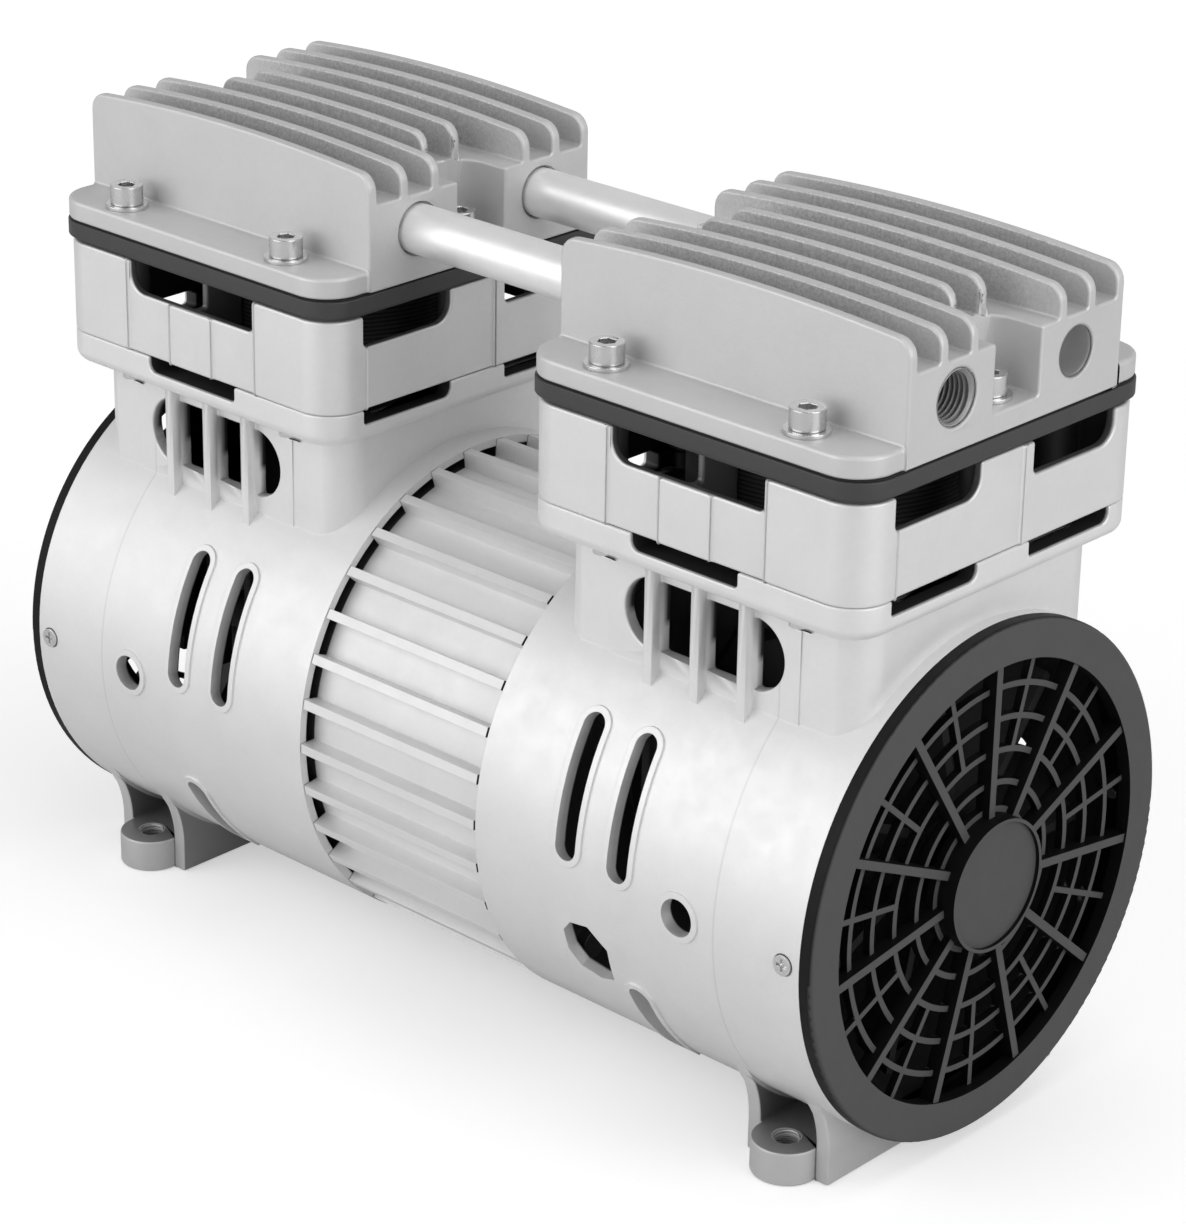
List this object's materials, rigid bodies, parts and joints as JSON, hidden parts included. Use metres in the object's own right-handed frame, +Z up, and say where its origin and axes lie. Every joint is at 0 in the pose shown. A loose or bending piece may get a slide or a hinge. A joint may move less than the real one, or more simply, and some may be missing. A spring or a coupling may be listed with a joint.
{
  "type": "portable air compressor",
  "caption": "Oil-free piston air compressor pump with a central motor, a finned cylinder head at each end, joining tubes, foot brackets and fan guards.",
  "frame": {"origin": "middle of the base plane, under the middle of the motor; Z = 0 is the underside of the feet", "axes": "+X along the motor shaft towards the right-hand end, -Y the side seen in front, +Z up"},
  "size_m": [0.2784, 0.1312, 0.2139],
  "materials": {
    "die_cast": "satin, fine cast grain",
    "jacket_cast": "satin, smooth",
    "head_cast": "matte, blasted",
    "barrel_cast": "satin",
    "laminations": "matte stacked sheets",
    "copper": null,
    "rotor_cast": "as cast",
    "steel": "ground",
    "bearing_steel": "polished",
    "black_steel": "black oxide",
    "eccentric_iron": "machined",
    "rod_cast": "as cast",
    "cup": "filled PTFE",
    "retainer": "machined",
    "liner": "hard anodised",
    "seal": "matte",
    "gasket": "matte",
    "valve_plate": "dark conversion coat, satin",
    "reed": "spring steel",
    "screw": "bright plated",
    "tube": "satin plated",
    "fan": "matte black",
    "guard": "matte dark grey"
  },
  "bodies": {
    "pump": {"crankcase_right": "die_cast", "crankcase_left": "die_cast", "motor_barrel": "barrel_cast", "stator_core": "laminations", "stator_windings": "copper", "motor_bearing_outer_rings": "bearing_steel", "tie_bolts": "steel", "cylinder_liner_right": "liner", "cylinder_liner_left": "liner", "liner_seal_right": "seal", "liner_seal_left": "seal", "cylinder_jacket_right": "jacket_cast", "cylinder_jacket_left": "jacket_cast", "valve_plate_right": "valve_plate", "valve_plate_left": "valve_plate", "intake_reed_right": "reed", "intake_reed_left": "reed", "exhaust_reed_right": "reed", "exhaust_reed_left": "reed", "reed_stop_right": "reed", "reed_stop_left": "reed", "head_gasket_right": "gasket", "head_gasket_left": "gasket", "cylinder_head_right": "head_cast", "cylinder_head_left": "head_cast", "head_screws_right": "screw", "head_screws_left": "screw", "head_washers_right": "screw", "head_washers_left": "screw", "transfer_tube_front": "tube", "transfer_tube_rear": "tube", "tube_seals": "seal", "fan_guard_right": "guard", "fan_guard_left": "guard", "guard_screws": "screw"},
    "rotor": {"motor_shaft": "steel", "rotor_core": "laminations", "rotor_end_rings": "rotor_cast", "motor_bearing_inner_rings": "bearing_steel", "eccentric_right": "eccentric_iron", "eccentric_left": "eccentric_iron", "eccentric_set_screws": "black_steel", "fan_right": "fan", "fan_left": "fan", "fan_set_screws": "black_steel"},
    "piston_right": {"connecting_rod_right": "rod_cast", "crank_bearing_right": "bearing_steel", "piston_cup_right": "cup", "cup_retainer_right": "retainer", "retainer_screw_right": "screw"},
    "piston_left": {"connecting_rod_left": "rod_cast", "crank_bearing_left": "bearing_steel", "piston_cup_left": "cup", "cup_retainer_left": "retainer", "retainer_screw_left": "screw"}
  },
  "joints": [
    {"name": "rotor_spin", "type": "hinge", "parent": "pump", "child": "rotor", "pos_m": [0, 0, 0.068], "axis": [1, 0, 0], "continuous": true},
    {"name": "piston_slide_right", "type": "slide", "parent": "pump", "child": "piston_right", "axis": [0, 0, 1], "range_m": [-0.007, 0.007]},
    {"name": "piston_slide_left", "type": "slide", "parent": "pump", "child": "piston_left", "axis": [0, 0, 1], "range_m": [-0.007, 0.007]}
  ]
}
